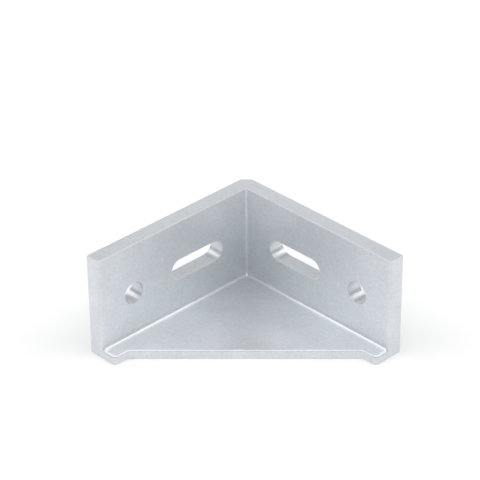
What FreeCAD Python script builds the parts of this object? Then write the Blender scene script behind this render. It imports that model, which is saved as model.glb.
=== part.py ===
import FreeCAD, Part
import math
import os
import Sketcher

# Corner bracket for slotted square profile, one aluminium casting.
# Two flanges stand at a right angle and a flat web closes their lower side.
# Each flange has a slot near the corner and a round hole near its end.
# Millimetres. The casting is drawn with its outer corner at the body's origin, the right
# leg along +X and the left leg along -Y. The finished bracket's Placement then moves the
# middle of the square that the legs span to the document's origin. The underside is at Z = 0.

SIZES = {
    # Flanges: length from the outer corner, height, and thickness.
    "leg_length": 76.8,
    "bracket_height": 40.0,
    "flange_thickness": 6.15,
    # Web, and the toe at each leg's end, measured from the mounting face and along the leg.
    "web_thickness": 3.5,
    "toe_depth": 12.5,
    "toe_length": 6.3,
    # Screw openings, all at one height above the underside.
    "opening_height": 20.3,
    "hole_distance": 61.2,
    "hole_diameter": 8.6,
    "slot_distance": 30.8,
    "slot_width": 8.4,
    "slot_length": 25.2,
    # Flat across the outer corner, and the rounding of the casting. The end radius is that
    # of the legs' upright end edges, the front radius that of the web's slanting front.
    "corner_flat": 3.0,
    "inner_radius": 0.9,
    "web_radius": 1.4,
    "toe_tip_radius": 1.8,
    "toe_root_radius": 1.6,
    "end_radius": 1.25,
    "front_radius": 0.6,
    "rim_radius": 0.25,
}

# A sketch's own numbers for its axes and for the points of each line, arc and circle. Its
# origin is the first point of its X axis.
X_AXIS, Y_AXIS = range(-1, -3, -1)
ROOT = X_AXIS
START, END, CENTRE = range(1, 4)
NEAR = 0.01


def make_sheet(doc):
    sheet = doc.addObject("Spreadsheet::Sheet", "sizes")
    for row, (name, value) in enumerate(SIZES.items(), start=1):
        sheet.set(f"A{row}", name)
        sheet.set(f"B{row}", str(value))
        sheet.setAlias(f"B{row}", name)
    doc.recompute()
    return sheet


def add_sketch(body, name, role):
    plane = next(item for item in body.Origin.OriginFeatures if item.Role == role)
    sketch = body.newObject("Sketcher::SketchObject", name)
    sketch.AttachmentSupport = [(plane, "")]
    sketch.MapMode = "FlatFace"
    return sketch


def dimension(sketch, name, expression, kind, *places):
    """A named dimension of the sketch, worked out from the sheet."""
    value = sketch.evalExpression(expression)
    index = sketch.addConstraint(Sketcher.Constraint(kind, *places, value))
    sketch.renameConstraint(index, name)
    sketch.setExpression(f"Constraints.{name}", expression)


def closed_outline(sketch, points):
    """Straight sides through the points, level and upright where the points are."""
    corners = [FreeCAD.Vector(x, y, 0) for x, y in points]
    for start, end in zip(corners, corners[1:] + corners[:1]):
        side = sketch.addGeometry(Part.LineSegment(start, end), False)
        if start.y == end.y:
            sketch.addConstraint(Sketcher.Constraint("Horizontal", side))
        if start.x == end.x:
            sketch.addConstraint(Sketcher.Constraint("Vertical", side))
    for side in range(len(corners)):
        following = (side + 1) % len(corners)
        sketch.addConstraint(Sketcher.Constraint("Coincident", side, END, following, START))


def outer_corner(sketch, first, last):
    """Places the legs' outer sides on the axes, with the flat across their corner."""
    sketch.addConstraint(Sketcher.Constraint("PointOnObject", first, START, X_AXIS))
    sketch.addConstraint(Sketcher.Constraint("PointOnObject", last, END, Y_AXIS))
    dimension(sketch, "flat_on_x", "sizes.corner_flat", "DistanceX", ROOT, START, first, START)
    dimension(sketch, "flat_on_y", "sizes.corner_flat", "DistanceY", last, END, ROOT, START)
    dimension(sketch, "leg_on_x", "sizes.leg_length", "DistanceX", ROOT, START, first, END)
    dimension(sketch, "leg_on_y", "sizes.leg_length", "DistanceY", last, START, ROOT, START)


def add_pad(body, name, sketch, height):
    pad = body.newObject("PartDesign::Pad", name)
    pad.Profile = sketch
    pad.setExpression("Length", height)
    sketch.Document.recompute()


def add_flanges(body, sheet):
    leg, wall, flat = sheet.leg_length, sheet.flange_thickness, sheet.corner_flat
    sketch = add_sketch(body, "flange_outline", "XY_Plane")
    closed_outline(sketch, [
        (flat, 0), (leg, 0), (leg, -wall), (wall, -wall), (wall, -leg), (0, -leg), (0, -flat),
    ])
    outer_corner(sketch, 0, 5)
    dimension(sketch, "wall_on_x", "sizes.flange_thickness", "DistanceY", 1, END, 1, START)
    dimension(sketch, "wall_on_y", "sizes.flange_thickness", "DistanceX", 4, END, 4, START)
    add_pad(body, "flanges", sketch, "sizes.bracket_height")


def add_web(body, sheet):
    leg, flat, deep = sheet.leg_length, sheet.corner_flat, sheet.toe_depth
    toe = leg - sheet.toe_length
    sketch = add_sketch(body, "web_outline", "XY_Plane")
    closed_outline(sketch, [
        (flat, 0), (leg, 0), (leg, -deep), (toe, -deep), (deep, -toe), (deep, -leg), (0, -leg), (0, -flat),
    ])
    outer_corner(sketch, 0, 6)
    dimension(sketch, "toe_depth_on_x", "sizes.toe_depth", "DistanceY", 1, END, 1, START)
    dimension(sketch, "toe_depth_on_y", "sizes.toe_depth", "DistanceX", 5, END, 5, START)
    dimension(sketch, "toe_length_on_x", "sizes.toe_length", "DistanceX", 2, END, 2, START)
    dimension(sketch, "toe_length_on_y", "sizes.toe_length", "DistanceY", 4, END, 4, START)
    add_pad(body, "web", sketch, "sizes.web_thickness")


def draw_hole(sketch, sheet, side):
    centre = FreeCAD.Vector(side * sheet.hole_distance, sheet.opening_height, 0)
    circle = Part.Circle(centre, FreeCAD.Vector(0, 0, 1), sheet.hole_diameter / 2)
    hole = sketch.addGeometry(circle, False)
    ends = (ROOT, START, hole, CENTRE) if side > 0 else (hole, CENTRE, ROOT, START)
    dimension(sketch, "hole_distance", "sizes.hole_distance", "DistanceX", *ends)
    dimension(sketch, "hole_height", "sizes.opening_height", "DistanceY", ROOT, START, hole, CENTRE)
    dimension(sketch, "hole_diameter", "sizes.hole_diameter", "Diameter", hole)


def draw_slot(sketch, sheet, side):
    """Two half circles joined by level lines. side is +1 or -1, the way the leg runs."""
    radius = sheet.slot_width / 2
    straight = sheet.slot_length / 2 - radius
    middle = side * sheet.slot_distance
    height = sheet.opening_height
    up = FreeCAD.Vector(0, 0, 1)
    low_end = Part.Circle(FreeCAD.Vector(middle - straight, height, 0), up, radius)
    high_end = Part.Circle(FreeCAD.Vector(middle + straight, height, 0), up, radius)
    low = sketch.addGeometry(Part.ArcOfCircle(low_end, math.pi / 2, 3 * math.pi / 2), False)
    high = sketch.addGeometry(Part.ArcOfCircle(high_end, -math.pi / 2, math.pi / 2), False)
    for arc_end, line_side in ((START, 1), (END, -1)):
        first = FreeCAD.Vector(middle - straight, height + line_side * radius, 0)
        second = FreeCAD.Vector(middle + straight, height + line_side * radius, 0)
        line = sketch.addGeometry(Part.LineSegment(first, second), False)
        other_end = END if arc_end == START else START
        sketch.addConstraint(Sketcher.Constraint("Tangent", low, arc_end, line, START))
        sketch.addConstraint(Sketcher.Constraint("Tangent", line, END, high, other_end))
    sketch.addConstraint(Sketcher.Constraint("Equal", low, high))
    ends = ((ROOT, START, low, CENTRE), (ROOT, START, high, CENTRE))
    if side < 0:
        ends = ((low, CENTRE, ROOT, START), (high, CENTRE, ROOT, START))
    half = "(sizes.slot_length - sizes.slot_width) / 2"
    dimension(sketch, "slot_low_end", f"sizes.slot_distance - {side} * {half}", "DistanceX", *ends[0])
    dimension(sketch, "slot_high_end", f"sizes.slot_distance + {side} * {half}", "DistanceX", *ends[1])
    dimension(sketch, "slot_height", "sizes.opening_height", "DistanceY", ROOT, START, low, CENTRE)
    dimension(sketch, "slot_level", "sizes.opening_height", "DistanceY", ROOT, START, high, CENTRE)
    dimension(sketch, "slot_radius", "sizes.slot_width / 2", "Radius", low)


def add_openings(body, sheet, name, role, side):
    """The hole and the slot of one leg, cut from its mounting face towards the inside."""
    solid = body.Tip.Shape.Volume
    sketch = add_sketch(body, f"{name}_outline", role)
    draw_hole(sketch, sheet, side)
    draw_slot(sketch, sheet, side)
    pocket = body.newObject("PartDesign::Pocket", name)
    pocket.Profile = sketch
    pocket.Type = "ThroughAll"
    pocket.Reversed = True
    sketch.Document.recompute()
    round_area = math.pi * sheet.hole_diameter ** 2 / 4
    end_area = math.pi * sheet.slot_width ** 2 / 4
    straight_area = (sheet.slot_length - sheet.slot_width) * sheet.slot_width
    removed = (round_area + end_area + straight_area) * sheet.flange_thickness
    if abs(solid - pocket.Shape.Volume - removed) > NEAR * removed:
        raise RuntimeError(f"{name} did not cut through one flange")


def lies_at(edge, x=None, y=None, z=None):
    """Says whether a straight edge's middle has the given places on the right leg, or their
    mirror images on the left one."""
    def middle_is_at(*places):
        pairs = zip(edge.CenterOfMass, places)
        return all(place is None or abs(value - place) < NEAR for value, place in pairs)

    mirrored_x = None if y is None else -y
    mirrored_y = None if x is None else -x
    straight = not edge.Degenerated and edge.Curve.TypeId == "Part::GeomLine"
    return straight and (middle_is_at(x, y, z) or middle_is_at(mirrored_x, mirrored_y, z))


def add_fillet(body, name, radius, **places):
    """Rounds the body's straight edges at those places, and what runs on smoothly from them."""
    base = body.Tip
    edges = enumerate(base.Shape.Edges, start=1)
    picked = [f"Edge{index}" for index, edge in edges if lies_at(edge, **places)]
    if not picked:
        raise RuntimeError(f"{name} has no edge to round")
    fillet = body.newObject("PartDesign::Fillet", name)
    fillet.Base = (base, picked)
    fillet.setExpression("Radius", radius)
    body.Document.recompute()


def round_inside(body, sheet):
    """Rounds the corner between the flanges, the web's root, and the toes as seen from above."""
    leg, wall, deep = sheet.leg_length, sheet.flange_thickness, sheet.toe_depth
    toe = leg - sheet.toe_length
    add_fillet(body, "inner_corner", "sizes.inner_radius", x=wall, y=-wall)
    add_fillet(body, "web_root", "sizes.web_radius", y=-wall, z=sheet.web_thickness)
    add_fillet(body, "toe_tips", "sizes.toe_tip_radius", x=leg, y=-deep)
    add_fillet(body, "toe_roots", "sizes.toe_root_radius", x=toe, y=-deep)


def part_fillet(base, name, radius_of):
    """A fillet that holds a radius for each edge, so its radii are read from the sheet."""
    fillet = base.Document.addObject("Part::Fillet", name)
    fillet.Base = base
    radii = [radius_of(edge) for edge in base.Shape.Edges]
    fillet.Edges = [(index, radius, radius) for index, radius in enumerate(radii, start=1) if radius]
    base.Document.recompute()
    return fillet


def round_front_line(casting, sheet):
    """Rounds the smooth line from one leg's upright end edge, round its toe, along the web's
    front and up the other leg. Its straight stretches have a radius each, and round each
    toe's tip the end radius narrows to the front radius."""
    leg, wall, deep = sheet.leg_length, sheet.flange_thickness, sheet.toe_depth
    web_top = sheet.web_thickness
    front_middle = (leg - sheet.toe_length + deep) / 2

    def radius_of(edge):
        leg_end = lies_at(edge, x=leg, y=-wall)
        toe_end = lies_at(edge, x=leg, z=web_top)
        toe_side = lies_at(edge, y=-deep, z=web_top)
        web_front = lies_at(edge, x=front_middle, y=-front_middle, z=web_top)
        if leg_end or toe_end:
            return sheet.end_radius
        return sheet.front_radius if toe_side or web_front else None

    return part_fillet(casting, "front_line", radius_of)


def round_rims(casting, sheet):
    """Rounds all round the top and the underside, and the upright edges of the mounting faces."""
    leg, flat, top = sheet.leg_length, sheet.corner_flat, sheet.bracket_height

    def radius_of(edge):
        height = edge.CenterOfMass.z
        around = abs(height - top) < NEAR or abs(height) < NEAR
        outside = lies_at(edge, x=leg, y=0) or lies_at(edge, x=flat, y=0)
        return sheet.rim_radius if around or outside else None

    return part_fillet(casting, "corner_bracket", radius_of)


def make_bracket(doc, sheet):
    body = doc.addObject("PartDesign::Body", "casting")
    add_flanges(body, sheet)
    add_web(body, sheet)
    add_openings(body, sheet, "right_openings", "XZ_Plane", 1)
    add_openings(body, sheet, "left_openings", "YZ_Plane", -1)
    round_inside(body, sheet)
    bracket = round_rims(round_front_line(body, sheet), sheet)
    bracket.Label = "corner_bracket"
    bracket.setExpression("Placement.Base.x", "-sizes.leg_length / 2")
    bracket.setExpression("Placement.Base.y", "sizes.leg_length / 2")
    return bracket


def check(doc, pieces):
    for item in doc.Objects:
        if "Invalid" in item.State or "Error" in item.State:
            raise RuntimeError(f"{item.Label} failed: {item.State}")
    for piece in pieces:
        if piece.Shape.isNull() or not piece.Shape.isValid():
            raise RuntimeError(f"{piece.Label} has no valid shape")
        if len(piece.Shape.Solids) != 1:
            raise RuntimeError(f"{piece.Label} is not one solid")


def main():
    doc = FreeCAD.newDocument("corner_bracket")
    sheet = make_sheet(doc)
    pieces = [make_bracket(doc, sheet)]
    doc.recompute()
    check(doc, pieces)
    os.makedirs("parts", exist_ok=True)
    for piece in pieces:
        piece.Shape.exportStep(f"parts/{piece.Label}.step")
        box = piece.Shape.optimalBoundingBox(False, False)
        print(piece.Label, f"{box.XLength:.3f} x {box.YLength:.3f} x {box.ZLength:.3f} mm,",
              f"{piece.Shape.Volume:.0f} mm3")


main()
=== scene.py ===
import math

import bpy
from mathutils import Matrix, Vector


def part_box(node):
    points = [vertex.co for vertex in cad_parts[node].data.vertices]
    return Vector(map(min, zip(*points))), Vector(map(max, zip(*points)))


# A corner bracket cast in aluminium, on a plain pale floor in soft studio light.
# Lengths are in metres. The bracket stands on its web, with its outer corner away from
# the camera, one leg along -Y on the left and the other along +X on the right.

MM = 0.001
WHITE = (1, 1, 1, 1)

# Camera: where it looks from, how far it stands, and the point that it looks at, which is
# set off sideways and upwards from the middle of the outer corner. The sensor's width and the
# lens are in millimetres, as Blender has them.
CAMERA_AZIMUTH = math.radians(46.108)
CAMERA_ELEVATION = math.radians(31.601)
CAMERA_ROLL = math.radians(-0.619)
CAMERA_DISTANCE = 801.34 * MM
AIM_RIGHT = -2.504 * MM
AIM_UP = -6.161 * MM
SENSOR = 36.0
LENS = 163.16

# Surface of the casting: the colour's lightest and darkest tone, and how much of the surface
# acts as bare metal.
METAL_LIGHT = (0.844, 0.872, 0.904, 1)
METAL_DARK = (0.642, 0.670, 0.704, 1)
METAL_SHARE = 0.6

# Three noises vary its tone. Each has a size, the finer layers in it, how strong those are,
# and its share in the tone.
CLOUDS = {"size": 9.0 * MM, "detail": 4.0, "roughness": 0.5}
BLOTCHES = {"size": 1.6 * MM, "detail": 4.0, "roughness": 0.6}
GRAIN = {"size": 0.6 * MM, "detail": 3.0, "roughness": 0.7}
CLOUD_TONE = 0.22
BLOTCH_TONE = 0.30
GRAIN_TONE = 0.50
NOISE_LOW = 0.3
NOISE_HIGH = 0.7

# The blotches also vary its roughness and raise faint waves, and the grain raises a fine skin.
ROUGH_LOW = 0.28
ROUGH_HIGH = 0.38
WAVE_HEIGHT = 0.05 * MM
WAVE_STRENGTH = 0.5
SKIN_HEIGHT = 0.05 * MM
SKIN_STRENGTH = 1.0

# Floor: its own colour, and how far it lies under the bracket, so that no two faces coincide.
# A ray shorter than TOUCHING comes from the bracket's underside.
FLOOR_COLOUR = (0.86, 0.86, 0.86, 1)
FLOOR_HALF = 3.0
FLOOR_DROP = 0.02 * MM
TOUCHING = 0.1 * MM

# What the floor adds to look white where no shadow falls on it. It grows to full white with
# the distance from the bracket, where less of the lamps' light reaches the floor.
GLOW_NEAR = 0.17
GLOW_FAR = 1.0
GLOW_START = 0.3
GLOW_END = 1.5

# Light: an even surround over a white backdrop, which reaches from below up to its own
# elevation and then fades into the surround.
SURROUND = 0.30
BACKDROP = 1.0
BACKDROP_TOP = math.radians(5)
BACKDROP_FADE = math.radians(5)

# Soft boxes that face the origin. A box's side angle and its elevation are in degrees, the
# first counted from the camera's direction, and its brightness is that of its face. A square
# metre of a face needs so many watts for a brightness of 1.
BOX_DISTANCE = 1.5
WATTS_PER_BRIGHTNESS = 4
SOFT_BOXES = {
    "overhead_box": {"side": 0, "elevation": 90, "width": 3.6, "height": 1.2, "brightness": 0.84},
    "front_box": {"side": 0, "elevation": 65, "width": 1.8, "height": 1.1, "brightness": 0.64},
    "left_box": {"side": -90, "elevation": 45, "width": 1.2, "height": 0.8, "brightness": 0.80},
    "right_box": {"side": 90, "elevation": 45, "width": 1.2, "height": 0.8, "brightness": 0.80},
    "back_box": {"side": 180, "elevation": 25, "width": 1.6, "height": 0.8, "brightness": 0.33},
}


class Shader:
    """A node tree that is filled with short calls."""

    def __init__(self, tree):
        self.tree = tree
        tree.nodes.clear()

    def node(self, kind, settings=None, **inputs):
        """Adds a node. An input's name is written with _ for each space."""
        made = self.tree.nodes.new(kind)
        for name, value in (settings or {}).items():
            setattr(made, name, value)
        for name, value in inputs.items():
            self.feed(made.inputs[name.replace("_", " ")], value)
        return made

    def feed(self, socket, value):
        if isinstance(value, bpy.types.NodeSocket):
            self.tree.links.new(value, socket)
        else:
            socket.default_value = value

    def calculate(self, operation, first, second):
        made = self.node("ShaderNodeMath", {"operation": operation})
        self.feed(made.inputs[0], first)
        self.feed(made.inputs[1], second)
        return made.outputs["Value"]

    def ramp(self, value, start, end, low, high):
        """A number that runs from low to high as the value runs from start to end."""
        made = self.node("ShaderNodeMapRange", Value=value, From_Min=start, From_Max=end,
                         To_Min=low, To_Max=high)
        return made.outputs["Result"]

    def noise(self, place, size, detail, roughness):
        made = self.node("ShaderNodeTexNoise", Vector=place, Scale=1 / size, Detail=detail,
                         Roughness=roughness)
        return made.outputs["Fac"]


def new_material(name):
    material = bpy.data.materials.new(name)
    material.use_nodes = True
    return material, Shader(material.node_tree)


def metal_colour(shader, clouds, blotches, grain):
    """Between the dark and the light tone, by the three noises together."""
    def part(noise, share):
        return shader.ramp(noise, NOISE_LOW, NOISE_HIGH, 0.0, share)

    tone = shader.calculate("ADD", part(clouds, CLOUD_TONE), part(blotches, BLOTCH_TONE))
    tone = shader.calculate("ADD", tone, part(grain, GRAIN_TONE))
    mix = shader.node("ShaderNodeMix", {"data_type": "RGBA"}, Factor=tone)
    dark, light = [socket for socket in mix.inputs if socket.type == "RGBA"]
    dark.default_value = METAL_DARK
    light.default_value = METAL_LIGHT
    return next(socket for socket in mix.outputs if socket.type == "RGBA")


def cast_aluminium():
    """Satin metal under a thin pale skin that scatters part of the light: cloudy in tone, with
    a fine blasted grain and faint waves from the mould."""
    material, shader = new_material("cast_aluminium")
    place = shader.node("ShaderNodeTexCoord").outputs["Object"]
    clouds = shader.noise(place, **CLOUDS)
    blotches = shader.noise(place, **BLOTCHES)
    grain = shader.noise(place, **GRAIN)
    roughness = shader.ramp(blotches, NOISE_LOW, NOISE_HIGH, ROUGH_LOW, ROUGH_HIGH)
    waves = shader.node("ShaderNodeBump", Strength=WAVE_STRENGTH, Distance=WAVE_HEIGHT, Height=blotches)
    skin = shader.node("ShaderNodeBump", Strength=SKIN_STRENGTH, Distance=SKIN_HEIGHT, Height=grain,
                       Normal=waves.outputs["Normal"])
    metal = shader.node("ShaderNodeBsdfPrincipled", Base_Color=metal_colour(shader, clouds, blotches, grain),
                        Metallic=METAL_SHARE, Roughness=roughness, Normal=skin.outputs["Normal"])
    shader.node("ShaderNodeOutputMaterial", Surface=metal.outputs["BSDF"])
    return material


def floor_glow(shader, path):
    """White for rays from the camera and from mirrors or glass, and more of it far away."""
    place = shader.node("ShaderNodeTexCoord").outputs["Object"]
    distance = shader.node("ShaderNodeVectorMath", {"operation": "LENGTH"}, Vector=place)
    amount = shader.ramp(distance.outputs["Value"], GLOW_START, GLOW_END, GLOW_NEAR, GLOW_FAR)
    seen = shader.calculate("ADD", path["Is Camera Ray"], path["Is Glossy Ray"])
    seen = shader.calculate("ADD", seen, path["Is Transmission Ray"])
    strength = shader.calculate("MULTIPLY", seen, amount)
    glow = shader.node("ShaderNodeEmission", Color=WHITE, Strength=strength)
    return glow.outputs["Emission"]


def floor_material():
    """Pale and lit, and just white where it is seen or mirrored with no shadow on it. From
    below it is clear, so that the bracket's underside can be seen."""
    material, shader = new_material("pale_floor")
    path = shader.node("ShaderNodeLightPath").outputs
    lit = shader.node("ShaderNodeBsdfDiffuse", Color=FLOOR_COLOUR)
    pale = shader.node("ShaderNodeAddShader")
    shader.feed(pale.inputs[0], lit.outputs["BSDF"])
    shader.feed(pale.inputs[1], floor_glow(shader, path))
    from_below = shader.node("ShaderNodeNewGeometry").outputs["Backfacing"]
    from_underside = shader.calculate("LESS_THAN", path["Ray Length"], TOUCHING)
    clear = shader.node("ShaderNodeBsdfTransparent")
    floor = shader.node("ShaderNodeMixShader", Fac=shader.calculate("ADD", from_below, from_underside))
    shader.feed(floor.inputs[1], pale.outputs["Shader"])
    shader.feed(floor.inputs[2], clear.outputs["BSDF"])
    shader.node("ShaderNodeOutputMaterial", Surface=floor.outputs["Shader"])
    return material


def link(obj):
    bpy.context.scene.collection.objects.link(obj)
    return obj


def make_floor():
    corners = [(-1, -1), (1, -1), (1, 1), (-1, 1)]
    points = [(x * FLOOR_HALF, y * FLOOR_HALF, -FLOOR_DROP) for x, y in corners]
    mesh = bpy.data.meshes.new("floor")
    mesh.from_pydata(points, [], [(0, 1, 2, 3)])
    mesh.materials.append(floor_material())
    link(bpy.data.objects.new("floor", mesh))


def make_surround():
    world = bpy.data.worlds.new("studio")
    world.use_nodes = True
    bpy.context.scene.world = world
    shader = Shader(world.node_tree)
    direction = shader.node("ShaderNodeTexCoord").outputs["Generated"]
    height = shader.node("ShaderNodeSeparateXYZ", Vector=direction).outputs["Z"]
    fade_from = math.sin(BACKDROP_TOP)
    fade_to = math.sin(BACKDROP_TOP + BACKDROP_FADE)
    strength = shader.ramp(height, fade_from, fade_to, BACKDROP, SURROUND)
    light = shader.node("ShaderNodeBackground", Color=WHITE, Strength=strength)
    shader.node("ShaderNodeOutputWorld", Surface=light.outputs["Background"])


def facing_axes(azimuth, elevation):
    """Right, up and back of what faces the origin from there. Azimuth 0 is on the -Y side."""
    level = math.cos(elevation)
    back = Vector((math.sin(azimuth) * level, -math.cos(azimuth) * level, math.sin(elevation)))
    right = Vector((math.cos(azimuth), math.sin(azimuth), 0))
    return right, back.cross(right), back


def pose(right, up, back, place):
    return Matrix.Translation(place) @ Matrix((right, up, back)).transposed().to_4x4()


def make_soft_box(name, side, elevation, width, height, brightness):
    data = bpy.data.lights.new(name, "AREA")
    data.shape = "RECTANGLE"
    data.size = width
    data.size_y = height
    data.energy = WATTS_PER_BRIGHTNESS * width * height * brightness
    box = link(bpy.data.objects.new(name, data))
    box.visible_camera = False
    right, up, back = facing_axes(CAMERA_AZIMUTH + math.radians(side), math.radians(elevation))
    box.matrix_world = pose(right, up, back, back * BOX_DISTANCE)


def make_camera():
    level, above, back = facing_axes(CAMERA_AZIMUTH, CAMERA_ELEVATION)
    right = level * math.cos(CAMERA_ROLL) + above * math.sin(CAMERA_ROLL)
    up = above * math.cos(CAMERA_ROLL) - level * math.sin(CAMERA_ROLL)
    low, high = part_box("corner_bracket")
    outer_corner = Vector((low.x, high.y, (low.z + high.z) / 2))
    place = outer_corner + right * AIM_RIGHT + up * AIM_UP + back * CAMERA_DISTANCE
    data = bpy.data.cameras.new("camera")
    data.sensor_width = SENSOR
    data.lens = LENS
    camera = link(bpy.data.objects.new("camera", data))
    camera.matrix_world = pose(right, up, back, place)
    bpy.context.scene.camera = camera


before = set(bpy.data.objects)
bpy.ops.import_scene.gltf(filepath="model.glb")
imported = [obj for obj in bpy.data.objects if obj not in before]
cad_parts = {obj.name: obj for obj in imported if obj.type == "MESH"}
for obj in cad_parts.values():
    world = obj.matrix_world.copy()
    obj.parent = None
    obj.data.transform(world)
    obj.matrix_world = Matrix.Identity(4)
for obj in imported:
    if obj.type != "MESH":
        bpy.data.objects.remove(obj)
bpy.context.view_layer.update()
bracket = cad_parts["corner_bracket"]
bracket.material_slots[0].material = cast_aluminium()
make_floor()
make_surround()
for name, box in SOFT_BOXES.items():
    make_soft_box(name, **box)
make_camera()
bpy.context.scene.view_settings.view_transform = "Standard"
